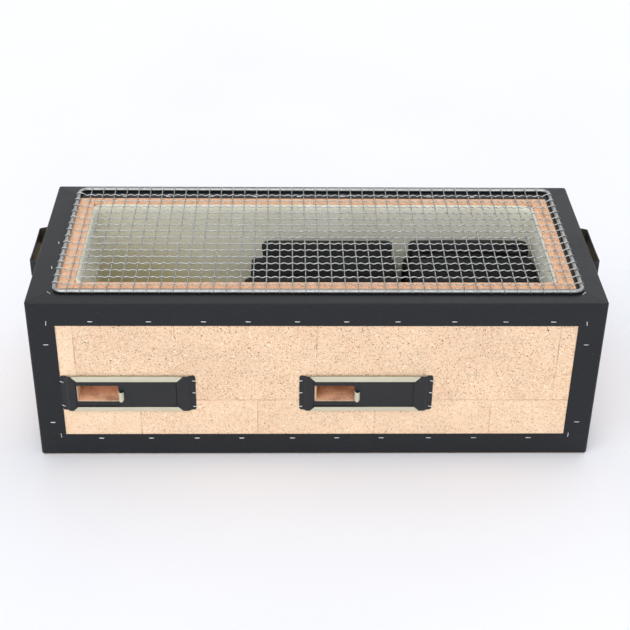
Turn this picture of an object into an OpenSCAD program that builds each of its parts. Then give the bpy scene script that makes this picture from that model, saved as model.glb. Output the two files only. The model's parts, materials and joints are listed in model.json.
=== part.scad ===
// Rectangular table hibachi (konro) of cut diatomite blocks in a sheet-steel frame.
// Origin: middle of the face it rests on. +X to the right, +Y to the back, +Z up.

/* [Body] */
// Width over the sheet-steel bands
body_w = 520; // [470:5:600]
// Depth over the sheet-steel bands
body_d = 225; // [215:5:260]
// Height from the resting face to the top flanges
body_h = 170; // [165:1:200]
// Height of the joint between the base blocks and the wall blocks
base_h = 63.5; // [62.5:0.1:65]
// Thickness of the front and back walls with their band
wall_t = 37; // [34:1:40]
// Thickness of the two end walls with their band
end_t = 40; // [36:1:45]
// Width of each base block between the end ones
base_block_w = 109; // [100:1:115]
// Thickness of the refractory coat inside the firebox
coat_t = 3; // [2:0.5:5]

/* [Bands] */
// Thickness of the sheet steel
sheet_t = 0.6; // [0.4:0.1:0.8]
// Width of the flanges and the corner posts
band_w = 25; // [20:1:28]
// Height of the top and bottom bands on the sides
band_h = 24; // [20:1:26]
// Outer corner radius of the bands
corner_r = 2.5; // [1.5:0.5:4]
// Open seam between a corner post and the bottom band
post_seam = 0.5; // [0.2:0.1:1]

/* [Air vents] */
// Width of a vent frame
vent_w = 123.5; // [120:0.5:128]
// Height of a vent frame
vent_h = 38.6; // [37:0.2:40]
// Height of a vent frame's lower edge above the resting face
vent_z = 53; // [52:0.1:54]
// Left edge of the middle vent frame, from the middle of the body
vent_middle_x = -16; // [-18:0.5:-14]
// Left edge of the window in the vent frame
window_x = 14.1; // [14:0.1:15]
// Width of the window
window_w = 39.6; // [38:0.1:40]
// Lower edge of the window in the vent frame
window_z = 9.9; // [9:0.1:11]
// Height of the window
window_h = 18; // [16:0.1:19]
// Length of a sliding door
door_l = 53; // [50:0.5:55]
// Place of the left door's left edge in its frame, open
door_left_x = 52.5; // [45:0.5:52.5]
// Place of the middle door's left edge in its frame, nearly open
door_middle_x = 51; // [45:0.5:52.5]

/* [Handles] */
// Length of a handle's raised part between its bends
handle_l = 61; // [50:1:80]
// Height of the strap
handle_h = 17; // [14:1:18]
// Stand-off of the strap from the band, outside
handle_off = 8.2; // [8:0.1:12]
// Length of each handle foot
handle_foot = 16; // [12:1:20]

/* [Net] */
// Width over the rim wire
net_w = 480; // [475:1:500]
// Depth over the rim wire
net_d = 201; // [198:1:210]
// Diameter of the rim wire
rim_wire = 4; // [3:0.5:5]
// Diameter of the woven wires
mesh_wire = 1.1; // [0.8:0.1:1.4]
// Number of cells from left to right
cells_x = 40; // [30:1:44]
// Number of cells from front to back
cells_y = 16; // [12:1:18]
// Place of the net's middle on the body, left to right
net_x = 1.5; // [0:0.5:2]
// Place of the net's middle on the body, front to back
net_y = 3; // [0:0.5:4]

/* [Fire] */
// Radius of a charcoal stick
stick_r = 17.8; // [15:0.1:17.8]
// Spacing of the charcoal sticks, middle to middle
stick_pitch = 36; // [36:0.1:36.2]
// Height of the top of the charcoal grate above the resting face
grate_top = 83; // [82:1:90]

/* [Hidden] */
$fn = 48;

// Blocks
block_x = body_w/2 - sheet_t;      // outer faces of the block work
block_y = body_d/2 - sheet_t;
block_top = body_h - sheet_t;
fire_x = body_w/2 - end_t;         // inner faces of the block walls
fire_y = body_d/2 - wall_t;
channel_w = 39;                    // air channel at each front block's lower left corner
channel_h = 17.5;

// Vent sheet levels, measured outwards from the block face
track_lift = 1.2;                  // back of the sheet that the door slides on
door_gap = 0.2;
door_t = sheet_t;
lip_level = track_lift + sheet_t + door_t + 2*door_gap;
foot_end = 4;                      // end of the flat foot that the staples hold
ramp_end = 7;
stop_left = 13.2;                  // inner faces of the raised end stops
stop_right = 106;
lip_x = 10;                        // start of the folded lips
lip_end = 111.5;
lip_top_h = 5.2;
lip_bottom_h = 4.7;
tab_z = 12.4;                      // finger tab rolled forward from the door's left edge
tab_h = 10.4;
tab_l = 5.2;
tab_out = 3.7;
vent_left_x = -body_w/2 + band_w;

// Staples
staple_wire = 0.9;
staple_l = 5;
vent_staple_l = 4;

// Charcoal
grate_bar = 4;                     // thickness of bars and runners
grate_bars = 11;
grate_x = 205;
grate_y = 60;
stick_left = [-70, 82];            // ends of the left-hand sticks, lower layer
stick_right = [88, 213];
grate_floor = base_h + coat_t;

module at_front() {                // local y = 0 on the front band face
  translate([0, -body_d/2, 0]) children();
}

module block_outline() {            // plan of the block work, corners eased to fit the bands
  rounded_rect(2*block_x, 2*block_y, corner_r - sheet_t);
}

module block(x0, x1, y0, y1, z0, z1) {
  translate([0, 0, z0]) linear_extrude(z1 - z0) intersection() {
    block_outline();
    translate([x0, y0]) square([x1 - x0, y1 - y0]);
  }
}

module cutter(x0, x1, y0, y1, z0, z1) {
  translate([x0, y0, z0]) cube([x1 - x0, y1 - y0, z1 - z0]);
}

// ---------- block work ----------
module base_block(x0, x1) {
  color("moccasin") block(x0, x1, -block_y, block_y, sheet_t, base_h);
}

module end_block(side) {
  color("moccasin")
    block(side > 0 ? fire_x : -block_x, side > 0 ? block_x : -fire_x,
          -block_y, block_y, base_h, block_top);
}

module front_block(x0) {
  color("moccasin") difference() {
    block(x0, x0 + fire_x, -block_y, -fire_y, base_h, block_top);
    cutter(x0 - 1, x0 + channel_w, -block_y - 1, -fire_y + 1, base_h - 1, base_h + channel_h);
  }
}

module back_block(x0) {
  color("moccasin") block(x0, x0 + fire_x, fire_y, block_y, base_h, block_top);
}

module firebox_lining() {
  color("darkkhaki") difference() {
    block(-fire_x, fire_x, -fire_y, fire_y, base_h, block_top - 0.5);
    cutter(-fire_x + coat_t, fire_x - coat_t, -fire_y + coat_t, fire_y - coat_t,
           grate_floor, body_h + 1);
    for (x0 = [-fire_x, 0])
      cutter(x0 - 1, x0 + channel_w, -fire_y - 1, -fire_y + coat_t + 1,
             base_h - 1, base_h + channel_h);
  }
}

// ---------- bands ----------
module rounded_rect(w, d, r) {
  square([w - 2*r, d], center = true);
  square([w, d - 2*r], center = true);
  for (sx = [-1, 1], sy = [-1, 1])
    translate([sx*(w/2 - r), sy*(d/2 - r)]) circle(r);
}

module skirt_outline() {
  difference() {
    rounded_rect(body_w, body_d, corner_r);
    rounded_rect(body_w - 2*sheet_t, body_d - 2*sheet_t, corner_r - sheet_t);
  }
}

module flange_outline() {
  difference() {
    rounded_rect(body_w, body_d, corner_r);
    square([body_w - 2*band_w, body_d - 2*band_w], center = true);
  }
}

// Quarter of the plan between two 45 degree mitres: 0 front, 1 right, 2 back, 3 left
module mitre_wedge(quarter) {
  long = quarter % 2 == 0;
  a = (long ? body_w : body_d)/2;
  b = (long ? body_d : body_w)/2;
  out = 1;                         // past the outer corners, and past the flange's inner edge
  deep = band_w + out;
  rotate(90*quarter)
    polygon([[-a - out, -b - out], [a + out, -b - out], [a - deep, -b + deep], [-a + deep, -b + deep]]);
}

module rail(quarter, z_skirt, z_flange) {
  color("dimgray") {
    translate([0, 0, z_skirt]) linear_extrude(band_h)
      intersection() { skirt_outline(); mitre_wedge(quarter); }
    translate([0, 0, z_flange]) linear_extrude(sheet_t)
      intersection() { flange_outline(); mitre_wedge(quarter); }
  }
}

module top_rail(quarter) { rail(quarter, body_h - band_h, body_h - sheet_t); }

module bottom_rail(quarter) { rail(quarter, 0, 0); }

module corner_post(sx, sy) {
  z0 = band_h + post_seam;
  color("dimgray") translate([0, 0, z0]) linear_extrude(body_h - band_h - z0)
    intersection() {
      skirt_outline();
      translate([sx*(body_w/2 - band_w/2), sy*(body_d/2 - band_w/2)])
        square(band_w, center = true);
    }
}

// ---------- air vents ----------
module vent_place(x0) {            // local x to the right, -y outwards, z up
  translate([x0, -block_y, vent_z]) children();
}

module vent_sheet() {
  track = track_lift + sheet_t;
  boss = lip_level;
  linear_extrude(vent_h) polygon([
    [0, 0], [0, -sheet_t], [foot_end, -sheet_t], [ramp_end, -boss], [stop_left, -boss],
    [stop_left, -track], [stop_right, -track], [stop_right, -boss],
    [vent_w - ramp_end, -boss], [vent_w - foot_end, -sheet_t], [vent_w, -sheet_t], [vent_w, 0],
    [vent_w - foot_end - 0.4, 0], [vent_w - ramp_end - 0.4, -boss + sheet_t],
    [stop_right + sheet_t, -boss + sheet_t], [stop_right + sheet_t, -track_lift],
    [stop_left - sheet_t, -track_lift], [stop_left - sheet_t, -boss + sheet_t],
    [ramp_end + 0.4, -boss + sheet_t], [foot_end + 0.4, 0]
  ]);
}

module lip(z_fold, z_free) {       // sheet edge folded forward over the door
  run = abs(z_free - z_fold);
  translate([0, -lip_level, 0]) rotate([90, 0, 0]) linear_extrude(sheet_t)
    polygon([[lip_x, z_fold], [lip_end, z_fold], [lip_end - run, z_free], [lip_x + run, z_free]]);
  translate([lip_x, -lip_level - sheet_t, z_fold > z_free ? z_fold - sheet_t : z_fold])
    cube([lip_end - lip_x, lip_level - track_lift, sheet_t]);
}

module vent_frame(x0) {
  color("dimgray") vent_place(x0) {
    difference() {
      vent_sheet();
      translate([window_x, -lip_level - 1, window_z]) cube([window_w, lip_level + 2, window_h]);
    }
    lip(vent_h, vent_h - lip_top_h);
    lip(0, lip_bottom_h);
  }
}

module rolled_tab() {              // half an oval from the door's edge, ending clear of the door
  half = tab_l/2;
  polygon([
    [0, door_t/2], for (a = [0:15:165]) [half*(1 - cos(a)), -tab_out*sin(a)],
    for (a = [165:-15:0]) [half - (half - door_t)*cos(a), -(tab_out - door_t)*sin(a)],
    [door_t, door_t/2]
  ]);
}

module vent_door(x0, door_x) {
  inner = track_lift + sheet_t + door_gap;
  edge = sheet_t + 0.3;
  color("gray") vent_place(x0) {
    translate([door_x, -inner - door_t, edge]) cube([door_l, door_t, vent_h - 2*edge]);
    translate([door_x, -inner - door_t, tab_z]) linear_extrude(tab_h) rolled_tab();
  }
}

// ---------- handles ----------
module handle(side) {
  half = handle_l/2;
  strap = 1;
  leg = 3;                         // how far a leg slants outwards along the band
  outline = [
    [0, half + leg + handle_foot], [strap, half + leg + handle_foot], [strap, half + leg],
    [handle_off, half], [handle_off, -half], [strap, -half - leg],
    [strap, -half - leg - handle_foot], [0, -half - leg - handle_foot],
    [0, -half - leg + 0.5], [handle_off - strap, -half + 0.5],
    [handle_off - strap, half - 0.5], [0, half + leg - 0.5]
  ];
  color("dimgray") translate([side*body_w/2, 0, body_h - 4 - handle_h])
    linear_extrude(handle_h) polygon([for (p = outline) [side*p[0], p[1]]]);
}

// ---------- fire ----------
module grate_bars() {               // long bars that carry the charcoal
  color("darkslategray") for (i = [0:grate_bars - 1])
    translate([-grate_x, -grate_y + i*(2*grate_y - grate_bar)/(grate_bars - 1), grate_top - grate_bar])
      cube([2*grate_x, grate_bar, grate_bar]);
}

module grate_runners() {            // cross strips on edge, which let the air pass under the bars
  h = grate_top - grate_bar - grate_floor;
  color("darkslategray") for (x = [-1:2/3:1])
    translate([x*(grate_x - 20) - grate_bar/2, -grate_y, grate_floor]) cube([grate_bar, 2*grate_y, h]);
}

module stick(x0, x1, y, z) {
  translate([x0, y, z]) rotate([0, 90, 0]) cylinder(h = x1 - x0, r = stick_r);
}

lower_z = grate_top + stick_r + 0.1;
upper_z = lower_z + stick_pitch*sin(60);

module charcoal_lower() {
  color("#222222") for (row = [-1.5:1:1.5]) {
    stick(stick_left[0] + 3*row, stick_left[1], row*stick_pitch, lower_z);
    stick(stick_right[0], stick_right[1] - row, row*stick_pitch, lower_z);
  }
}

module charcoal_upper() {
  color("#262626") for (row = [-1:1]) {
    stick(-61 + 8*row, 80 - 2*row, row*stick_pitch, upper_z);
    stick(91 + row, 214, row*stick_pitch, upper_z);
  }
}

// ---------- cooking net ----------
rim_r = rim_wire/2;
net_z = body_h + rim_r + 0.05;
layer = mesh_wire/2 + 0.03;
rim_x = net_w/2 - rim_r;           // rim centre line
rim_y = net_d/2 - rim_r;
rim_bend = 8;

module net_place() { translate([net_x, net_y, net_z]) children(); }

module net_rim() {
  color("silver") net_place() {
    for (s = [-1, 1]) {
      translate([-rim_x + rim_bend, s*rim_y, 0]) rotate([0, 90, 0])
        cylinder(h = 2*(rim_x - rim_bend), r = rim_r);
      translate([s*rim_x, -rim_y + rim_bend, 0]) rotate([-90, 0, 0])
        cylinder(h = 2*(rim_y - rim_bend), r = rim_r);
    }
    for (q = [0:3]) {
      sx = (q == 0 || q == 3) ? 1 : -1;
      sy = q < 2 ? 1 : -1;
      translate([sx*(rim_x - rim_bend), sy*(rim_y - rim_bend), 0]) rotate(90*q)
        rotate_extrude(angle = 90) translate([rim_bend, 0]) circle(rim_r);
    }
  }
}

wire_end = sqrt(rim_r*rim_r - layer*layer);   // where a wire meets the round rim

module net_long_wires() {
  h = 2*(rim_x - wire_end);
  color("silver") net_place() for (i = [1:cells_y - 1])
    translate([-h/2, -rim_y + i*2*rim_y/cells_y, -layer]) rotate([0, 90, 0])
      cylinder(h = h, r = mesh_wire/2);
}

module net_cross_wires() {
  h = 2*(rim_y - wire_end);
  color("silver") net_place() for (i = [1:cells_x - 1])
    translate([-rim_x + i*2*rim_x/cells_x, -h/2, layer]) rotate([-90, 0, 0])
      cylinder(h = h, r = mesh_wire/2);
}

// ---------- staples ----------
// Crown of one wire staple lying on a face whose outward normal is -Y in local axes
module crown(turn = 0, l = staple_l) {
  translate([0, -staple_wire/2, 0]) rotate([0, turn, 0]) translate([-l/2, 0, 0])
    rotate([0, 90, 0]) cylinder(h = l, r = staple_wire/2, $fn = 24);
}

top_row_z = body_h - band_h + 4.8;
bottom_row_z = band_h - 4.2;
post_x = body_w/2 - band_w/2;
band_pitch = 46.5;
top_row_x = [-203, -151, -102, -62, -18, 26, 72, 123, 169, 212];      // driven in by hand
bottom_row_x = [-202, -155, -112, -70, -22, 20, 62, 107, 150, 202];

module long_side_staples() {       // one long side, seen from outside
  for (x = top_row_x) translate([x, 0, top_row_z]) crown();
  for (x = bottom_row_x) translate([x, 0, bottom_row_z]) crown();
  for (s = [-1, 1]) {
    translate([s*(post_x - 5.2), 0, top_row_z - 2]) crown(90 - s*6);
    translate([s*(post_x - 3), 0, band_h + 102]) crown();
    translate([s*(post_x - 1.5), 0, band_h + 14.5]) crown();
    translate([s*(post_x - 8), 0, band_h - 1]) crown(90 + s*4);
  }
}

module staples_front() {
  color("gainsboro") at_front() long_side_staples();
}

module staples_back() {
  color("gainsboro") rotate(180) at_front() long_side_staples();
}

module staples_ends() {
  color("gainsboro") for (turn = [90, -90]) rotate(turn) translate([0, -body_w/2, 0]) {
    for (i = [-1.5:1:1.5]) translate([i*band_pitch, 0, bottom_row_z]) crown();
    for (i = [-2, 2]) translate([i*band_pitch*0.82, 0, top_row_z]) crown();
    for (s = [-1, 1], z = [band_h + 14.5, band_h + 102])
      translate([s*(body_d/2 - band_w/2 - 2), 0, z]) crown();
  }
}

module staples_top() {              // local x to the right, z to the back
  corner_x = body_w/2 - 19.5;      // clear of the net's rim
  corner_y = -body_d/2 + 17;
  color("gainsboro") translate([0, 0, body_h]) rotate([-90, 0, 0]) {
    for (y = [-51, -5]) translate([-body_w/2 + 16, 0, y]) crown(78);
    for (s = [-1, 1]) translate([s*corner_x, 0, corner_y]) crown(-s*44);
    for (x = [-4:4]) translate([x*44 - 15, 0, body_d/2 - 22.5]) crown();
  }
}

module vent_end_staples(x0, left_rows, right_rows, left_turn) {
  inset = 1.2;                     // the crowns reach just past the ends of the frame
  vent_place(x0) {
    for (z = left_rows) translate([inset, -sheet_t, z]) crown(left_turn, vent_staple_l);
    for (z = right_rows) translate([vent_w - inset, -sheet_t, z]) crown(4, vent_staple_l);
  }
}

module staples_vents() {
  rows = [4, 19.5, 33];
  color("gainsboro") {
    vent_end_staples(vent_left_x, [5, 32], rows, 25);
    vent_end_staples(vent_middle_x, rows, rows, -4);
  }
}

module staples_handles() {
  foot = handle_l/2 + 3 + handle_foot/2;
  color("gainsboro") for (turn = [90, -90])
    rotate(turn) translate([0, -body_w/2 - 1, 0])
      for (s = [-1, 1], z = [4, 13])
        translate([s*foot, 0, body_h - 4 - handle_h + z]) crown(s*8);
}

// ---------- nodes ----------
joint_x = 1.5*base_block_w;
inner_x = 0.5*base_block_w;
base_block(-block_x, -joint_x);  // base_block_left_end
base_block(-joint_x, -inner_x);  // base_block_left
base_block(-inner_x, inner_x);  // base_block_centre
base_block(inner_x, joint_x);  // base_block_right
base_block(joint_x, block_x);  // base_block_right_end
end_block(-1);  // end_block_left
end_block(1);  // end_block_right
front_block(-fire_x);  // front_block_left
front_block(0);  // front_block_right
back_block(-fire_x);  // back_block_left
back_block(0);  // back_block_right
firebox_lining();
top_rail(0);  // top_rail_front
top_rail(2);  // top_rail_back
top_rail(3);  // top_rail_left
top_rail(1);  // top_rail_right
bottom_rail(0);  // bottom_rail_front
bottom_rail(2);  // bottom_rail_back
bottom_rail(3);  // bottom_rail_left
bottom_rail(1);  // bottom_rail_right
corner_post(-1, -1);  // corner_post_front_left
corner_post(1, -1);  // corner_post_front_right
corner_post(-1, 1);  // corner_post_back_left
corner_post(1, 1);  // corner_post_back_right
vent_frame(vent_left_x);  // vent_frame_left
vent_frame(vent_middle_x);  // vent_frame_middle
vent_door(vent_left_x, door_left_x);  // vent_door_left
vent_door(vent_middle_x, door_middle_x);  // vent_door_middle
handle(-1);  // handle_left
handle(1);  // handle_right
grate_bars();
grate_runners();
charcoal_lower();
charcoal_upper();
net_rim();
net_long_wires();
net_cross_wires();
staples_front();
staples_back();
staples_ends();
staples_top();
staples_vents();
staples_handles();
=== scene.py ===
"""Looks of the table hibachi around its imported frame. Shapes are worked out in millimetres."""
import json
import math
import random

import bmesh
import bpy
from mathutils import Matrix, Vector, noise


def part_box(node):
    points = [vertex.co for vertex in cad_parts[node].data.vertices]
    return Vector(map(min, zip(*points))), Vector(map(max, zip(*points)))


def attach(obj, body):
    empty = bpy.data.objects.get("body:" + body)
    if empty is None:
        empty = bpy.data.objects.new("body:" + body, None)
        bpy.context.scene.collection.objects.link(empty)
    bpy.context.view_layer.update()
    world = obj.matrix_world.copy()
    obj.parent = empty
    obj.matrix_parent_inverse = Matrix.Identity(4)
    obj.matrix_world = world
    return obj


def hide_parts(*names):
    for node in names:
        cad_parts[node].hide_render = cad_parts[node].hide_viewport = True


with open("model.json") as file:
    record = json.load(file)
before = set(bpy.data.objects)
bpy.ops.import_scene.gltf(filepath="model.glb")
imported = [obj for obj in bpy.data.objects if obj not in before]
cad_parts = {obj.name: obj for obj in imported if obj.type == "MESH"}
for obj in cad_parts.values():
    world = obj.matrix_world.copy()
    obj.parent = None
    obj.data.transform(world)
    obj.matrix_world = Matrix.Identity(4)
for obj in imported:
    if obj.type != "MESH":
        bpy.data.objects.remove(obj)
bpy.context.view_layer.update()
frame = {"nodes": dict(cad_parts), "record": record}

nodes = frame["nodes"]
MM = 0.001
BODY_OF = {n: body for body, names in frame["record"]["behaviour"]["bodies"].items() for n in names}


def box(node):
    """Lowest and highest corner of a CAD node, in millimetres."""
    lo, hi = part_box(node)
    return lo / MM, hi / MM


# ---------- materials ----------
def srgb(red, green, blue):
    """Linear colour of an sRGB one given from 0 to 255."""
    def linear(c):
        c /= 255
        return c / 12.92 if c <= 0.04045 else ((c + 0.055) / 1.055) ** 2.4
    return linear(red), linear(green), linear(blue), 1.0


class Finish:
    """A node material: a Principled shader and shorthand calls for what feeds it."""

    def __init__(self, name, roughness, metallic=0.0, specular=0.5, shift=(0, 0, 0)):
        self.material = bpy.data.materials.new(name)
        self.material.use_nodes = True
        self.tree = self.material.node_tree
        self.shader = self.tree.nodes["Principled BSDF"]
        self.shader.inputs["Roughness"].default_value = roughness
        self.shader.inputs["Metallic"].default_value = metallic
        self.shader.inputs["Specular IOR Level"].default_value = specular
        place = self.tree.nodes.new("ShaderNodeTexCoord").outputs["Object"]
        self.place = self.add("VectorMath", {"operation": "ADD"}, place, shift).outputs[0]

    def add(self, kind, settings, *inputs, **named):
        node = self.tree.nodes.new("ShaderNode" + kind)
        for key, value in settings.items():
            setattr(node, key, value)
        for key, value in [*enumerate(inputs), *named.items()]:
            self.feed(node.inputs[key if isinstance(key, int) else key.replace("_", " ")], value)
        return node

    def feed(self, socket, value):
        if isinstance(value, bpy.types.NodeSocket):
            self.tree.links.new(value, socket)
        else:
            socket.default_value = value

    def noise(self, scale, detail=3.0, roughness=0.55, place=None):
        return self.add("TexNoise", {}, Vector=place or self.place, Scale=scale, Detail=detail,
                        Roughness=roughness).outputs["Fac"]

    def stretched(self, x, y, z):
        return self.add("VectorMath", {"operation": "MULTIPLY"}, self.place, (x, y, z)).outputs[0]

    def fit(self, value, low, high, to_low=0.0, to_high=1.0):
        return self.add("MapRange", {}, value, low, high, to_low, to_high).outputs[0]

    def dots(self, scale, radius, edge=0.35, warp=0.0):
        """1 inside scattered grains of about that radius, in cells of the scale; 0 outside."""
        place = self.place
        if warp:
            wobble = self.add("TexNoise", {}, Vector=place, Scale=scale * 1.7, Detail=2.0).outputs["Color"]
            push = self.add("VectorMath", {"operation": "SCALE"}, wobble, Scale=warp / scale).outputs[0]
            place = self.add("VectorMath", {"operation": "ADD"}, place, push).outputs[0]
        cells = self.add("TexVoronoi", {}, Vector=place, Scale=scale)
        inside = self.fit(cells.outputs["Distance"], radius * (1 + edge), radius * (1 - edge))
        keep = self.fit(self.add("SeparateColor", {}, cells.outputs["Color"]).outputs[0], 0.0, 1.0, 0.15, 1.0)
        return self.times(inside, keep)

    def along(self, axis):
        """The coordinate along an axis, in metres and without the finish's own shift."""
        place = self.tree.nodes.new("ShaderNodeTexCoord").outputs["Object"]
        return self.add("SeparateXYZ", {}, place).outputs[axis]

    def near(self, planes, far, close):
        """1 close to any of the planes, each an axis number and a place on it; 0 farther than far."""
        nearest = None
        for axis, at in planes:
            apart = self.add("Math", {"operation": "SUBTRACT"}, self.along(axis), at).outputs[0]
            apart = self.add("Math", {"operation": "ABSOLUTE"}, apart).outputs[0]
            if nearest is not None:
                apart = self.add("Math", {"operation": "MINIMUM"}, apart, nearest).outputs[0]
            nearest = apart
        return self.fit(nearest, far, close)

    def times(self, a, b):
        return self.add("Math", {"operation": "MULTIPLY"}, a, b).outputs[0]

    def plus(self, a, b):
        return self.add("Math", {"operation": "ADD"}, a, b).outputs[0]

    def mix(self, share, a, b):
        node = self.add("Mix", {"data_type": "RGBA"}, share)
        self.feed(node.inputs[6], a)
        self.feed(node.inputs[7], b)
        return node.outputs[2]

    def finish(self, colour, height=None, depth=0.0002, strength=1.0, roughness=None):
        self.feed(self.shader.inputs["Base Color"], colour)
        if roughness is not None:
            self.feed(self.shader.inputs["Roughness"], roughness)
        if height is not None:
            bump = self.add("Bump", {}, Strength=strength, Distance=depth, Height=height)
            self.feed(self.shader.inputs["Normal"], bump.outputs[0])
        return self.material


def shade(colour, factor):
    return tuple(c * factor for c in colour[:3]) + (1.0,)


PEACH = srgb(237, 210, 180)


def diatomite(name, seed, joints, cuts, tone=1.0, speckle=1.0):
    """Sawn diatomaceous earth: soft patches, dark open pores, pale grains, mortar along the joints.
    Faces inside the cuts are a deeper pink, partly sawn colour and partly painted bounce light; each cut
    gives the axis number, where it starts and is full, and a brightness that paints the air channels lighter
    as painted light."""
    f = Finish(name, 0.95, specular=0.2, shift=(seed * 0.37, seed * 0.21, seed * 0.13))
    patches = f.fit(f.noise(16, 4.0, 0.6), 0.35, 0.65)
    colour = f.mix(patches, shade(PEACH, 0.96 * tone), shade(PEACH, 1.06 * tone))
    rosy = f.fit(f.noise(38, 3.0), 0.5, 0.8, 0.0, 0.30)
    colour = f.mix(rosy, colour, shade(srgb(226, 180, 150), tone))
    # Cut faces take a deeper pink, partly their sawn colour and partly painted bounce light; a brightness
    # factor above 1 paints them lighter as painted light.
    for axis, start, full, painted_brightness in cuts:
        cut_tint_and_bounce = f.fit(f.along(axis), start * MM, full * MM, 0.0, 0.8)
        colour = f.mix(cut_tint_and_bounce, colour, shade(srgb(240, 188, 152), painted_brightness))
    grain = f.noise(520, 4.0, 0.75)
    colour = f.mix(f.fit(grain, 0.45, 0.66, 0.0, 0.6 * speckle), colour, shade(srgb(214, 158, 116), tone))
    pale = f.dots(190, 0.2, warp=0.7)
    colour = f.mix(f.times(pale, 0.7), colour, srgb(253, 240, 220))
    pores = f.times(f.dots(640, 0.29, 0.2, warp=0.6), f.fit(f.noise(55, 3.0), 0.36, 0.6, 0.6, 1.0))
    colour = f.mix(f.times(pores, speckle), colour, srgb(104, 64, 42))
    pits = f.dots(200, 0.12, 0.2, warp=0.8)
    colour = f.mix(f.times(pits, speckle), colour, srgb(58, 40, 32))
    height = f.plus(f.times(grain, 0.5), f.times(f.plus(pores, pits), -1.0))
    if joints:
        mortar = f.near(joints, 0.0008, 0.0002)
        patchy = f.fit(f.noise(60, 4.0), 0.4, 0.66, 0.04, 0.75)
        colour = f.mix(f.times(mortar, patchy), colour, srgb(172, 124, 102))
        height = f.plus(height, f.times(mortar, -0.5))
    return f.finish(colour, height, 0.0004, 0.7)


def mortar_wash():
    """Brushed refractory coat: grey-olive, in soft streaks, with sand grains showing."""
    f = Finish("firebox_coat", 0.95, specular=0.2)
    streaks = f.noise(30, 5.0, 0.6, f.stretched(1.0, 1.0, 0.28))
    colour = f.mix(f.fit(streaks, 0.3, 0.7), srgb(234, 232, 215), srgb(245, 243, 231))
    warm = f.fit(f.noise(11, 3.0), 0.45, 0.75, 0.0, 0.45)
    colour = f.mix(warm, colour, srgb(224, 213, 178))
    # Olive, stronger towards the firebox floor and towards its left end.
    low = f.times(f.fit(f.along(2), 0.130, 0.080), f.fit(f.along(0), -0.06, -0.15, 0.35, 1.0))
    colour = f.mix(f.times(low, 0.8), colour, srgb(200, 188, 136))
    sand = f.dots(330, 0.19, warp=0.4)
    colour = f.mix(f.times(sand, 0.5), colour, srgb(126, 118, 92))
    height = f.plus(f.noise(520, 3.0, 0.65), f.times(sand, -0.6))
    return f.finish(colour, height, 0.0005, 0.7)


def coated_steel(name, colour, gloss=0.42, specular=0.35):
    """Satin pre-coated sheet: orange peel, handling marks and faint dust."""
    f = Finish(name, gloss, specular=specular)
    marks = f.fit(f.noise(22, 5.0, 0.65), 0.45, 0.8)
    scratch = f.fit(f.noise(60, 6.0, 0.7, f.stretched(0.6, 0.6, 14.0)), 0.66, 0.78)
    worn = f.mix(f.times(marks, 0.35), colour, shade(colour, 1.5))
    worn = f.mix(f.times(scratch, 0.25), worn, shade(colour, 2.6))
    dust = f.dots(210, 0.07)
    worn = f.mix(f.times(dust, 0.35), worn, srgb(150, 140, 128))
    rough = f.fit(marks, 0.0, 1.0, gloss - 0.05, gloss + 0.12)
    return f.finish(worn, f.noise(1500, 2.0), 0.00003, 0.5, rough)


def zinc(name, tone):
    """Zinc-plated wire: bright and slightly spangled, its roughness varying in patches."""
    f = Finish(name, 0.34, metallic=1.0)
    spangle = f.fit(f.noise(420, 3.0), 0.35, 0.7)
    colour = f.mix(spangle, shade(srgb(212, 214, 214), tone), shade(srgb(176, 178, 178), tone))
    rough = f.fit(f.noise(160, 3.0), 0.3, 0.7, 0.24, 0.44)
    return f.finish(colour, f.noise(1800, 2.0), 0.00003, 0.5, rough)


def iron():
    f = Finish("grate_iron", 0.7, specular=0.3)
    scale = f.fit(f.noise(60, 5.0, 0.65), 0.4, 0.7)
    colour = f.mix(scale, srgb(70, 66, 63), srgb(104, 92, 82))
    return f.finish(colour, f.noise(400, 4.0, 0.7), 0.0002, 0.6)


def charcoal(seed):
    """Dense hardwood charcoal: soft black with a grey bloom of ash and long grain."""
    f = Finish(f"charcoal_{seed}", 0.6, specular=0.2, shift=(seed * 0.31, 0.0, seed * 0.17))
    grain = f.noise(90, 5.0, 0.65, f.stretched(0.12, 1.0, 1.0))
    bloom = f.fit(f.noise(34, 4.0, 0.6), 0.52, 0.8, 0.0, 0.5)
    colour = f.mix(f.fit(grain, 0.35, 0.7), srgb(10, 10, 11), srgb(26, 26, 27))
    colour = f.mix(bloom, colour, srgb(44, 44, 44))
    rough = f.fit(grain, 0.3, 0.7, 0.45, 0.75)
    return f.finish(colour, grain, 0.0006, 0.8, rough)


BLACK = coated_steel("black_coat", srgb(27, 29, 33), 0.36, 0.27)
VENT_BLACK = coated_steel("vent_coat", srgb(36, 37, 40), 0.4, 0.31)
CREAM = coated_steel("cream_coat", srgb(193, 189, 168), 0.5, 0.4)
# The strap's inner face: the cream reverse coat painted dark olive-brown as painted shade.
SHADED_REVERSE = coated_steel("reverse_coat_painted_shade", srgb(66, 62, 52), 0.5, 0.3)
NET_ZINC = zinc("net_zinc", 0.7)
STAPLE_ZINC = zinc("staple_zinc", 1.3)
COAT = mortar_wash()


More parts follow.
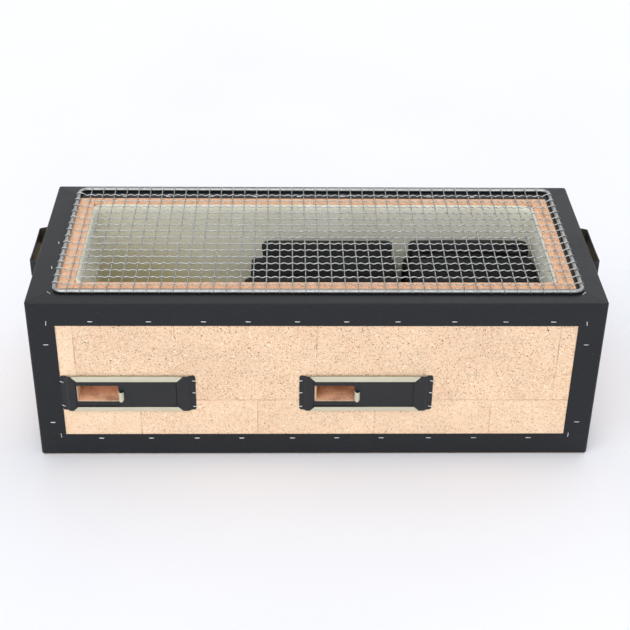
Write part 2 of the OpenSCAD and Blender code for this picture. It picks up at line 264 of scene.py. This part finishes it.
# ---------- making pieces ----------
def new_object(name, verts, faces, materials, face_materials=None, sharp=35):
    mesh = bpy.data.meshes.new(name)
    mesh.from_pydata([Vector(v) * MM for v in verts], [], faces)
    for material in materials:
        mesh.materials.append(material)
    if face_materials:
        for face, index in zip(mesh.polygons, face_materials):
            face.material_index = index
    bm = bmesh.new()
    bm.from_mesh(mesh)
    bmesh.ops.remove_doubles(bm, verts=bm.verts, dist=1e-6)
    bmesh.ops.dissolve_degenerate(bm, edges=bm.edges, dist=1e-6)
    bmesh.ops.recalc_face_normals(bm, faces=bm.faces)
    bm.to_mesh(mesh)
    bm.free()
    mesh.shade_smooth()
    mesh.set_sharp_from_angle(angle=math.radians(sharp))
    obj = bpy.data.objects.new(name, mesh)
    bpy.context.scene.collection.objects.link(obj)
    return obj


def stand_for(obj, *cad_nodes):
    """The piece rides with the body of the CAD nodes it replaces, which are hidden."""
    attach(obj, BODY_OF[cad_nodes[0]])
    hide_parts(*cad_nodes)
    return obj


def solidify(obj, thickness, reverse=0):
    made = obj.modifiers.new("sheet", "SOLIDIFY")
    made.thickness = thickness * MM
    made.offset = 0
    made.material_offset = reverse
    made.use_quality_normals = True
    return obj


def bevel(obj, width, segments=2, angle=40):
    made = obj.modifiers.new("edges", "BEVEL")
    made.width = width * MM
    made.segments = segments
    made.limit_method = "ANGLE"
    made.angle_limit = math.radians(angle)
    made.harden_normals = True
    return obj


def dress(node, material, width):
    """A CAD node that keeps its shape gets its material and soft edges."""
    slots = nodes[node].data.materials
    slots.clear()
    slots.append(material)
    bevel(nodes[node], width)


class Shape:
    """Vertices and faces gathered from grids and tubes, with a material number each."""

    def __init__(self):
        self.verts, self.faces, self.marks = [], [], []

    def grid(self, rows, mark=0, skip=None, wrap=False):
        """Faces over rows of points; skip(row, column) leaves one out; wrap joins last to first."""
        start, width = len(self.verts), len(rows[0])
        for row in rows:
            self.verts.extend(row)
        for r in range(len(rows) - 1):
            for c in range(width if wrap else width - 1):
                if skip and skip(r, c):
                    continue
                a, b = start + r * width + c, start + r * width + (c + 1) % width
                self.face((a, b, b + width, a + width), mark)
        return start

    def face(self, corners, mark=0):
        self.faces.append(tuple(corners))
        self.marks.append(mark)

    def tube(self, path, radius, side, sides=8, closed=False, mark=0):
        """A round wire along a flat path; side is the direction square to its plane."""
        path = [Vector(p) for p in path]
        side = Vector(side).normalized()
        rings = []
        for i, point in enumerate(path):
            before = path[i - 1] if i or closed else point
            after = path[(i + 1) % len(path)] if i < len(path) - 1 or closed else point
            up = (after - before).normalized().cross(side)
            turns = [2 * math.pi * k / sides for k in range(sides)]
            rings.append([point + radius * (math.cos(t) * side + math.sin(t) * up) for t in turns])
        if closed:
            rings.append(rings[0])
        start = self.grid(rings, mark, wrap=True)
        if not closed:
            last = start + (len(rings) - 1) * sides
            self.face(range(start + sides - 1, start - 1, -1), mark)
            self.face(range(last, last + sides), mark)

    def piece(self, name, materials, **options):
        return new_object(name, self.verts, self.faces, materials, self.marks, **options)


def fillet(points, radius, steps=4):
    """The path with its bends rounded."""
    points = [Vector(p) for p in points]
    out = [points[0]]
    for before, at, after in zip(points, points[1:], points[2:]):
        to_before, to_after = (before - at), (after - at)
        half = max(to_before.angle(to_after) / 2, 0.1)
        cut = min(radius / math.tan(half), 0.45 * to_before.length, 0.45 * to_after.length)
        if cut < 1e-3:
            out.append(at)
            continue
        a, b = at + to_before.normalized() * cut, at + to_after.normalized() * cut
        for k in range(steps + 1):
            t = k / steps
            out.append(a * (1 - t) ** 2 + at * (2 * t * (1 - t)) + b * t ** 2)
    return out + [points[-1]]


def with_stops(path, stops):
    """The path with extra points where its first coordinate passes the stops."""
    out = [path[0]]
    for a, b in zip(path, path[1:]):
        for stop in sorted(s for s in stops if a[0] + 1e-4 < s < b[0] - 1e-4):
            out.append(a.lerp(b, (stop - a[0]) / (b[0] - a[0])))
        out.append(b)
    return out


def islands(node):
    """Corner pairs and vertices of each separate solid in a CAD node, in millimetres."""
    bm = bmesh.new()
    bm.from_mesh(nodes[node].data)
    bmesh.ops.remove_doubles(bm, verts=bm.verts, dist=1e-6)
    left, found = set(bm.verts), []
    while left:
        stack, group = [left.pop()], []
        while stack:
            vert = stack.pop()
            group.append(vert.co / MM)
            for edge in vert.link_edges:
                other = edge.other_vert(vert)
                if other in left:
                    left.remove(other)
                    stack.append(other)
        lo = Vector([min(v[k] for v in group) for k in range(3)])
        hi = Vector([max(v[k] for v in group) for k in range(3)])
        found.append((lo, hi, group))
    bm.free()
    return sorted(found, key=lambda part: tuple(round(c, 2) for c in (*part[0], *part[1])))


# ---------- block work ----------
def finish_blocks():
    """Own grain and joints for each block; the front and end walls are the most speckled."""
    outer = box("base_block_right_end")[1].x
    bed = box("base_block_centre")[1].z
    for seed, name in enumerate(sorted(n for n in nodes if "block" in n)):
        lo, hi = box(name)
        base = name.startswith("base")
        joints = [(0, x * MM) for x in (lo.x, hi.x) if abs(x) < outer - 1] + [(2, bed * MM)]
        pale = name in ("end_block_left", "base_block_left_end")
        tone, speckle = (1.06, 0.45) if pale else (1.03, 0.75) if base else (1.0, 1.0)
        # Cut tints: the rim at brightness 1.0; the base tops and front-block channel faces at 1.14, painted
        # lighter as painted light, in a pink that is partly painted bounce light.
        cuts = [(2, bed - 0.4, bed - 0.1, 1.14)] if base else [(2, hi.z - 14, hi.z - 10, 1.0)]
        if name.startswith("front"):
            cuts.insert(0, (1, lo.y + 2, lo.y + 5, 1.14))
        material = diatomite(f"diatomite_{name}", seed + 1, joints, cuts, tone, speckle)
        dress(name, material, 0.15)


def firebox_coat():
    """A brushed-on tub with soft corners, pierced by the two air channels."""
    lo, hi = box("firebox_lining")
    thick, corner, cove = 3.0, 9.0, 5.0
    base = box("front_block_left")[0].z
    floor = base + thick
    half = Vector((hi.x - thick, hi.y - thick))
    channels = [(box(n)[0].x, box(n)[0].x + 39.0) for n in ("front_block_left", "front_block_right")]
    roof = base + 17.5

    def outline(inset):
        """Stations round the inside: x, y and the outward direction."""
        w, d = half.x - inset, half.y - inset
        r = max(corner - max(inset, 0), 0.5)
        edges = sorted({-w + r, w - r, *[x for c in channels for x in c if abs(x) < half.x - corner]}
                       | {-w + r + k * (2 * w - 2 * r) / 44 for k in range(45)})
        out = [(x, -d, 0, -1) for x in edges]
        sides = [-d + r + k * (2 * d - 2 * r) / 14 for k in range(15)]
        corners = ((w - r, -d + r, -90), (w - r, d - r, 0), (-w + r, d - r, 90), (-w + r, -d + r, 180))
        for cx, cy, first in corners:
            out += [(cx + r * math.cos(a), cy + r * math.sin(a), math.cos(a), math.sin(a))
                    for a in (math.radians(first + k * 15) for k in range(1, 6))]
            if first == -90:
                out += [(w, y, 1, 0) for y in sides]
            elif first == 0:
                out += [(x, d, 0, 1) for x in reversed(edges)]
            elif first == 90:
                out += [(-w, y, -1, 0) for y in reversed(sides)]
        return out

    def uneven(point, size):
        return size * noise.noise(Vector(point) * 0.035) + 0.35 * size * noise.noise(Vector(point) * 0.16)

    levels = [(cove * (1 - math.sin(math.radians(a))), cove * (1 - math.cos(math.radians(a))) + floor)
              for a in (0, 22, 45, 67, 90)]
    heights = [roof] + [roof + k * (hi.z - roof) / 20 for k in range(1, 21)]
    levels += [(-2.5 * max(0.0, 1 - (hi.z - z) / 12)**2, z) for z in heights if z > floor + cove]
    shape, rows = Shape(), []
    for inset, z in levels:
        row = []
        for x, y, nx, ny in outline(inset):
            push = uneven((x, y, z), 0.5) - 0.15
            top = 0.9 * noise.noise(Vector((x, y, 7.0)) * 0.05) if z > hi.z - 0.1 else 0.0
            row.append((x - nx * push * 0.8, y - ny * push * 0.8, z + min(top, 0.0)))
        rows.append(row)
    plan = outline(0.0)

    def channel(r, c):
        a, b = plan[c], plan[(c + 1) % len(plan)]
        middle = (a[0] + b[0]) / 2
        low = rows[r + 1][c][2] <= roof + 1e-3
        return low and a[3] == -1 and b[3] == -1 and any(x0 - 3 < middle < x1 for x0, x1 in channels)

    start = shape.grid(rows, skip=channel, wrap=True)
    middle = len(shape.verts)
    shape.verts.append((0, 0, floor))
    for c in range(len(plan)):
        shape.face((start + (c + 1) % len(plan), start + c, middle))
    coat = shape.piece("firebox_coat", [COAT], sharp=60)
    made = coat.modifiers.new("coat", "SOLIDIFY")
    made.thickness = (thick - 0.3) * MM
    made.offset = outward_offset(coat, Vector((0, 0, (lo.z + hi.z) / 2)))
    stand_for(coat, "firebox_lining")


def outward_offset(obj, middle):
    """Which way a Solidify grows away from the middle: 1 along the normals, -1 against them."""
    middle = middle * MM
    along = sum(f.area * f.normal.dot(f.center - middle) for f in obj.data.polygons)
    return 1.0 if along > 0 else -1.0


# ---------- bands ----------
QUARTERS = {"front": 0, "right": 1, "back": 2, "left": 3}


def l_profile(skirt, flange, sheet, fold):
    """Section of a folded rail: (inset from the outer face, height from the flange's face)."""
    turns = [math.pi - k * math.pi / 10 for k in range(6)]
    outer = [(fold + fold * math.cos(t), -fold + fold * math.sin(t)) for t in turns]
    inner = [(fold + (fold - sheet) * math.cos(t), -fold + (fold - sheet) * math.sin(t)) for t in turns]
    return [(0, -skirt), *outer, (flange - 0.15, 0), (flange, -0.2), (flange, -sheet), *inner[::-1],
            (sheet, -skirt)]


def rail(name, quarter, top):
    lo, hi = box(name)
    half = (box("top_rail_right")[1].x, box("top_rail_back")[1].y)
    half = half if quarter % 2 == 0 else half[::-1]
    sheet, radius, fold, gap = 0.6, 2.5, 1.2 if top else 2.3, 0.12
    span = (hi - lo).y if quarter % 2 == 0 else (hi - lo).x
    profile = l_profile(hi.z - lo.z, span, sheet, fold)
    face_z, sign = (hi.z, 1) if top else (lo.z, -1)
    turns = [math.radians(a) for a in (45, 30, 15, 0)]
    stations = [(-1, t) for t in turns] + [(1, t) for t in reversed(turns)]
    turn = math.radians(90 * quarter)
    rows = []
    for end, (side, theta) in enumerate(stations):
        row = []
        for inset, height in profile:
            centre, rho = max(radius, inset), max(radius - inset, 0)
            x = side * (half[0] - centre + rho * math.sin(theta) - (gap if end in (0, 7) else 0))
            y = -half[1] + centre - rho * math.cos(theta)
            row.append((x * math.cos(turn) - y * math.sin(turn), x * math.sin(turn) + y * math.cos(turn),
                        face_z + sign * height))
        rows.append(row)
    shape = Shape()
    start = shape.grid(rows, wrap=True)
    count = len(profile)
    shape.face(range(start, start + count))
    shape.face(range(start + 7 * count, start + 8 * count))
    stand_for(shape.piece(f"band_{name}", [BLACK]), name)


def finish_bands():
    for side, quarter in QUARTERS.items():
        rail(f"top_rail_{side}", quarter, True)
        rail(f"bottom_rail_{side}", quarter, False)
    for name in (n for n in nodes if n.startswith("corner_post")):
        dress(name, BLACK, 0.12)


# ---------- air vents ----------
SHEET = 0.6
WINDOW = (14.1, 53.7, 9.9, 27.9)          # left, right, bottom, top in the vent frame
LIP_TOP, LIP_BOTTOM = 5.2, 4.7            # how far each folded edge reaches in from the frame
TAB_Z, TAB_H = 12.4, 10.4                 # finger tab, from the lower edge of the frame


def rounded_ends(length, height, radius):
    """Trims a height to rounded outer corners at distance u along a sheet of that length."""
    def trim(u, z):
        reach = min(u, length - u)
        cut = 0.0 if reach >= radius else radius - math.sqrt(max(radius**2 - (radius - reach)**2, 0))
        return min(max(z, cut), height - cut)
    return trim


def vent_frame(name):
    """A pressed sheet: flat feet, raised ends, a sunk track, and two edges folded over it."""
    lo, hi = box(name)
    face = box("front_block_left")[0].y
    length, height = hi.x - lo.x, hi.z - lo.z
    path = fillet([(u, out, 0) for u, out in (
        (0, 0.3), (4, 0.3), (7, 2.5), (12.9, 2.5), (13.5, 1.5), (105.7, 1.5), (106.3, 2.5),
        (length - 7, 2.5), (length - 4, 0.3), (length, 0.3))], 1.0)
    corner = 2.2
    steps = [corner * k / 5 for k in range(1, 6)]
    path = with_stops(path, [*WINDOW[:2], *steps, *[length - s for s in steps], 30, 42, 70, 90])
    trim = rounded_ends(length, height, corner)
    levels = [0, 3, WINDOW[2], 19, WINDOW[3], height - 3, height]
    shape = Shape()
    rows = [[(lo.x + p[0], face - p[1], lo.z + trim(p[0], z)) for z in levels] for p in path]

    def window(r, c):
        u = (path[r][0] + path[r + 1][0]) / 2
        z = (levels[c] + levels[c + 1]) / 2
        return WINDOW[0] < u < WINDOW[1] and WINDOW[2] < z < WINDOW[3]

    shape.grid(rows, skip=window)
    for fold, free in ((height - 0.3, height - LIP_TOP), (0.3, LIP_BOTTOM)):
        lip = fillet([(fold, 1.5, 0), (fold, 3.1, 0), (free, 3.1, 0)], 0.8, 5)
        rows = []
        for z, out, _ in lip:
            run = abs(z - fold)
            slack = 0.12 * math.sin(1.9 * fold)
            rows.append([(lo.x + 10 + run + (101.5 - 2 * run) * k / 8, face - out - slack * run * 0.1
                          * math.sin(k * 0.9), lo.z + z) for k in range(9)])
        shape.grid(rows, mark=1)
    piece = solidify(shape.piece(f"sheet_{name}", [VENT_BLACK, CREAM]), SHEET - 0.05)
    bevel(piece, 0.1, 1, 60)
    stand_for(piece, name)


def vent_door(name):
    """The sliding plate with its curled finger tab, whose reverse coat shows."""
    lo, hi = box(name)
    face = box("front_block_left")[0].y
    out = 2.3
    shape = Shape()
    length, height = hi.x - lo.x, hi.z - lo.z
    trim = rounded_ends(length, height, 1.0)
    us = [0, 0.2, 0.5, 1.0, length / 2, length - 1.0, length - 0.5, length - 0.2, length]
    shape.grid([[(lo.x + u, face - out, lo.z + trim(u, z)) for z in (0, height / 2, height)] for u in us])
    half, deep = 2.6 - SHEET / 2, 3.7 - SHEET / 2
    rows = []
    for k in range(15):
        a = math.radians(-8 + k * 12.4)
        u, level = SHEET / 2 + half * (1 - math.cos(a)), out + SHEET / 2 + deep * math.sin(a)
        cut = 2.2 * max(0.0, (k - 8) / 6)**2
        rows.append([(lo.x + u, face - level, lo.z - 0.9 + TAB_Z + z)
                     for z in (cut, TAB_H * 0.3, TAB_H * 0.7, TAB_H - cut * 0.4)])
    shape.grid(rows, mark=1)
    piece = solidify(shape.piece(f"plate_{name}", [VENT_BLACK, CREAM]), SHEET - 0.1)
    bevel(piece, 0.1, 1, 60)
    stand_for(piece, name)


# ---------- handles ----------
def strap_handle(name):
    lo, hi = box(name)
    side = 1 if lo.x > 0 else -1
    face = box("top_rail_right")[1].x
    reach = hi.x - face if side > 0 else -face - lo.x
    height = hi.z - lo.z
    foot = hi.y
    strap, leg, flat = 1.0, 3.0, 16.0
    bend = foot - flat
    path = [(-foot, 0.5, 0), (-bend, 0.5, 0), (-bend + leg, reach - 0.5, 0),
            (bend - leg, reach - 0.5, 0), (bend, 0.5, 0), (foot, 0.5, 0)]
    steps = [0.6 * k for k in range(1, 6)]
    path = fillet(path, 1.8, 6)
    path = with_stops(path, [*[-foot + s for s in steps], *[foot - s for s in steps], -20, -10, 0, 10, 20])
    trim = rounded_ends(2 * foot, height, 2.5)
    levels = [k * height / 6 for k in range(7)]
    shape = Shape()
    rows = []
    for y, out, _ in path:
        bow = 0.35 * math.cos(min(abs(y) / bend, 1.0) * math.pi / 2) if out > 2 else 0.0
        rows.append([(side * (face + out - bow), y, lo.z + trim(y + foot, z)) for z in levels])
    shape.grid(rows if side > 0 else rows[::-1])
    # Inner face in the reverse coat darkened as painted shade.
    piece = shape.piece(f"strap_{name}", [BLACK, SHADED_REVERSE])
    outward = outward_offset(piece, Vector((0, 0, (lo.z + hi.z) / 2)))
    made = solidify(piece, strap - 0.05, 1).modifiers["sheet"]
    if outward < 0:
        made.use_flip_normals = True
    bevel(piece, 0.2, 2, 60)
    stand_for(piece, name)


# ---------- fire ----------
def finish_grate():
    material = iron()
    for name in (n for n in nodes if n.startswith("grate")):
        dress(name, material, 0.5)


def charcoal_stick(shape, lo, hi, draw, mark):
    """One stick: slightly bent, out of round, split along its grain, with cracked ends."""
    radius = (hi.y - lo.y) / 2
    centre = Vector(((lo.x + hi.x) / 2, (lo.y + hi.y) / 2, (lo.z + hi.z) / 2))
    length = hi.x - lo.x
    around, along = 72, max(int(length / 4), 8)
    seed = Vector((draw.uniform(0, 90), draw.uniform(0, 90), draw.uniform(0, 90)))
    cracks = [(draw.uniform(0, 2 * math.pi), draw.uniform(0.05, 0.12), draw.uniform(0.8, 2.0))
              for _ in range(7)]
    bow = Vector((0, draw.uniform(-0.8, 0.8), draw.uniform(-0.6, 0.6)))
    lean = [draw.uniform(-1.5, 1.5) for _ in range(4)]

    def skin(turn, x):
        out = Vector((0, math.cos(turn), math.sin(turn)))
        wide = 0.895 * radius + 1.0 * noise.noise(out * 1.1 + seed + Vector((x * 0.006, 0, 0)))
        wide += 0.35 * noise.noise(out * 5.0 + seed + Vector((x * 0.03, 0, 0)))
        for at, width, depth in cracks:
            drift = at + 0.25 * noise.noise(Vector((x * 0.02, at * 5, 0)) + seed)
            apart = abs((turn - drift + math.pi) % (2 * math.pi) - math.pi)
            fade = 0.5 + 0.5 * noise.noise(Vector((x * 0.025, at * 9, 4)) + seed)
            wide -= depth * max(0.0, 1 - apart / width) * max(fade, 0.0) * 1.6
        return out, min(wide, 0.965 * radius)

    def point(turn, share, k):
        x = -length / 2 + length * k / along
        out, wide = skin(turn, x)
        middle = bow * math.cos(x / length * math.pi)
        ends = (1 if k in (0, along) else 0) * math.copysign(1, x)
        break_in = 2.4 + lean[0] * share * out.y + lean[1] * share * out.z
        break_in += 0.9 * noise.noise(out * share * 3 + seed)
        edge = 1 - 0.16 * max(0.0, 1 - min(k, along - k) / 2)**2
        p = centre + middle + out * wide * share * edge + Vector((x, 0, 0))
        p.x -= ends * min(max(break_in, 0.1), 3.4)
        return p

    turns = [2 * math.pi * k / around for k in range(around)]
    rows = [[point(t, 1.0, k) for t in turns] for k in range(along + 1)]
    start = shape.grid(rows, mark, wrap=True)
    for k, ring in ((0, start), (along, start + along * around)):
        for share in (0.82, 0.6, 0.36, 0.15):
            inner = len(shape.verts)
            for t in turns:
                p = point(t, share, k)
                groove = sum(d for a, w, d in cracks if abs((t - a + math.pi) % (2 * math.pi) - math.pi) < w)
                p.x += (1.1 if k == 0 else -1.1) * min(groove, 1.4) * share
                shape.verts.append(p)
            for c in range(around):
                d = (c + 1) % around
                shape.face((ring + c, ring + d, inner + d, inner + c), mark)
            ring = inner
        shape.face([ring + c for c in range(around)], mark)


def charcoal_layers():
    draw = random.Random(41)
    materials = [charcoal(k + 1) for k in range(3)]
    for name in ("charcoal_lower", "charcoal_upper"):
        shape = Shape()
        for k, (lo, hi, _) in enumerate(islands(name)):
            charcoal_stick(shape, lo, hi, draw, k % 3)
        stand_for(shape.piece(f"sticks_{name}", materials, sharp=50), name)


# ---------- cooking net ----------
def cooking_net():
    lo, hi = box("net_rim")
    rim_r = (hi.z - lo.z) / 2
    middle = (lo + hi) / 2
    half = (hi - lo) / 2 - Vector((rim_r, rim_r, 0))
    wires_x, wires_y = len(islands("net_cross_wires")), len(islands("net_long_wires"))
    wire_r = (box("net_cross_wires")[1].z - box("net_cross_wires")[0].z) / 2
    bend = 8.0

    rim = Shape()
    loop = []
    for sx, sy, first in ((1, -1, -90), (1, 1, 0), (-1, 1, 90), (-1, -1, 180)):
        corner = middle + Vector((sx * (half.x - bend), sy * (half.y - bend), 0))
        for k in range(9):
            a = math.radians(first + k * 11.25)
            loop.append(corner + Vector((bend * math.cos(a), bend * math.sin(a), 0)))
    rim.tube(loop, rim_r, (0, 0, 1), sides=20, closed=True)
    stand_for(rim.piece("rim_wire", [NET_ZINC]), "net_rim")

    def wire(shape, number, along_x, count_along, count_across):
        """One wire with an extra crimp between crossings, its ends bent round the rim."""
        reach = half.x if along_x else half.y
        pitch = 2 * reach / (count_along + 1)
        side = half.y if along_x else half.x
        across = -side + number * 2 * side / (count_across + 1)
        sign = 1 if along_x else -1
        hook = [math.radians(a) for a in (-28, -5, 20, 45, 70)]
        start = [(-reach - (rim_r + wire_r) * math.cos(a), (rim_r + wire_r) * math.sin(a)) for a in hook]
        run = []
        steps = (count_along + 1) * 12
        for k in range(steps + 1):
            s = -reach + 2 * reach * k / steps
            crimp = sign * (wire_r + 0.02) * math.cos(math.pi * (3 * (s + reach) / pitch + number))
            near = min(1.0, max(0.0, (abs(s) - (reach - 0.65 * pitch)) / (0.6 * pitch)))
            near = near * near * (3 - 2 * near)
            run.append((s, crimp * (1 - near) + (rim_r + wire_r) * near))
        path = start + run + [(-s, z) for s, z in reversed(start)]
        if along_x:
            points = [middle + Vector((s, across, z)) for s, z in path]
            shape.tube(points, wire_r, (0, 1, 0), sides=6)
        else:
            points = [middle + Vector((across, s, z)) for s, z in path]
            shape.tube(points, wire_r, (1, 0, 0), sides=6)

    long_wires, cross_wires = Shape(), Shape()
    for number in range(1, wires_y + 1):
        wire(long_wires, number, True, wires_x, wires_y)
    for number in range(1, wires_x + 1):
        wire(cross_wires, number, False, wires_y, wires_x)
    stand_for(long_wires.piece("long_wires", [NET_ZINC]), "net_long_wires")
    stand_for(cross_wires.piece("cross_wires", [NET_ZINC]), "net_cross_wires")


# ---------- staples ----------
def wire_staples():
    """A bent wire bridge in place of each CAD crown, its legs going into the sheet."""
    draw = random.Random(7)
    body_hi = box("top_rail_back")[1]
    front = box("front_block_left")[0].y
    for name in sorted(n for n in nodes if n.startswith("staples")):
        shape = Shape()
        for lo, hi, verts in islands(name):
            centre = (lo + hi) / 2
            if abs(centre.x) > body_hi.x:
                normal = Vector((math.copysign(1, centre.x), 0, 0))
            elif centre.z > body_hi.z:
                normal = Vector((0, 0, 1))
            else:
                normal = Vector((0, 1 if centre.y > front + 20 else -1, 0))
            far = max(verts, key=lambda v: (v - centre).length)
            direction = far - centre
            direction -= normal * direction.dot(normal)
            ends = sorted(verts, key=lambda v: (v - centre).dot(direction))
            count = len(ends) // 2
            direction = (sum(ends[count:], Vector()) - sum(ends[:count], Vector())) / count
            direction -= normal * direction.dot(normal)
            half = direction.length / 2
            direction.normalize()
            radius = 0.42
            level = draw.uniform(-0.12, 0.0)
            tilt = draw.uniform(-0.10, 0.10)
            arch = [(-half + radius, -1.0), (-half + radius, level - 0.05 + tilt),
                    (half - radius, level - 0.05 - tilt), (half - radius, -1.0)]
            path = fillet([(a, b, 0) for a, b in arch], 0.7, 5)
            points = [centre + direction * a + normal * b for a, b, _ in path]
            shape.tube(points, radius, direction.cross(normal), sides=8)
        stand_for(shape.piece(f"wire_{name}", [STAPLE_ZINC]), name)


# ---------- stage ----------
def stage():
    scene = bpy.context.scene
    bpy.ops.mesh.primitive_plane_add(size=9, location=(0, 1.5, -0.0003))
    floor = bpy.context.object
    floor.name = "floor"
    f = Finish("pale_floor", 0.85, specular=0.2)
    cloud = f.fit(f.noise(2.0, 2.0), 0.3, 0.7)
    floor.data.materials.append(f.finish(f.mix(cloud, srgb(232, 233, 239), srgb(236, 237, 242))))

    world = bpy.data.worlds.new("studio")
    scene.world = world
    world.use_nodes = True
    sky = world.node_tree.nodes["Background"]
    sky.inputs["Color"].default_value = (0.96, 0.98, 1.0, 1)
    add = world.node_tree.nodes.new
    link = world.node_tree.links.new
    lean = add("ShaderNodeVectorMath")
    lean.operation = "DOT_PRODUCT"
    lean.inputs[1].default_value = (0, 0.55, 1)
    link(add("ShaderNodeTexCoord").outputs["Generated"], lean.inputs[0])
    fade = add("ShaderNodeMapRange")
    for socket, value in zip(fade.inputs[1:5], (-0.5, 0.6, 0.36, 0.86)):
        socket.default_value = value
    link(lean.outputs["Value"], fade.inputs[0])
    link(fade.outputs[0], sky.inputs["Strength"])

    def sun(name, place, power, spread, colour):
        light = bpy.data.lights.new(name, "SUN")
        light.energy = power
        light.color = colour
        light.angle = math.radians(spread)
        obj = bpy.data.objects.new(name, light)
        scene.collection.objects.link(obj)
        obj.location = place
        obj.rotation_euler = (Vector((0, 0, 0.1)) - Vector(place)).to_track_quat("-Z", "Y").to_euler()

    sun("front_softbox", (-0.4, -1.2, 1.0), 1.7, 75, (1.0, 0.985, 0.96))
    sun("back_softbox", (0.5, 0.9, 1.7), 0.4, 60, (1.0, 1.0, 1.0))

    scene.view_settings.view_transform = "Standard"
    scene.view_settings.look = "None"


def camera():
    yaw, pitch, roll = 0.02786, 0.57079, 0.01587
    forward = Vector((math.sin(yaw) * math.cos(pitch), math.cos(yaw) * math.cos(pitch), -math.sin(pitch)))
    level = Vector((math.cos(yaw), -math.sin(yaw), 0))
    upright = level.cross(forward)
    right = math.cos(roll) * level + math.sin(roll) * upright
    up = math.cos(roll) * upright - math.sin(roll) * level
    data = bpy.data.cameras.new("camera")
    data.sensor_width = 36.0
    data.lens = 76.346
    obj = bpy.data.objects.new("camera", data)
    bpy.context.scene.collection.objects.link(obj)
    obj.location = (-0.03046, -1.11424, 0.80129)
    turn = obj.matrix_world.to_3x3()
    turn.col[0], turn.col[1], turn.col[2] = right, up, -forward
    obj.rotation_euler = turn.to_euler()
    bpy.context.scene.camera = obj


camera()
stage()
finish_blocks()
firebox_coat()
finish_bands()
for vent in ("left", "middle"):
    vent_frame(f"vent_frame_{vent}")
    vent_door(f"vent_door_{vent}")
for side in ("left", "right"):
    strap_handle(f"handle_{side}")
finish_grate()
charcoal_layers()
cooking_net()
wire_staples()
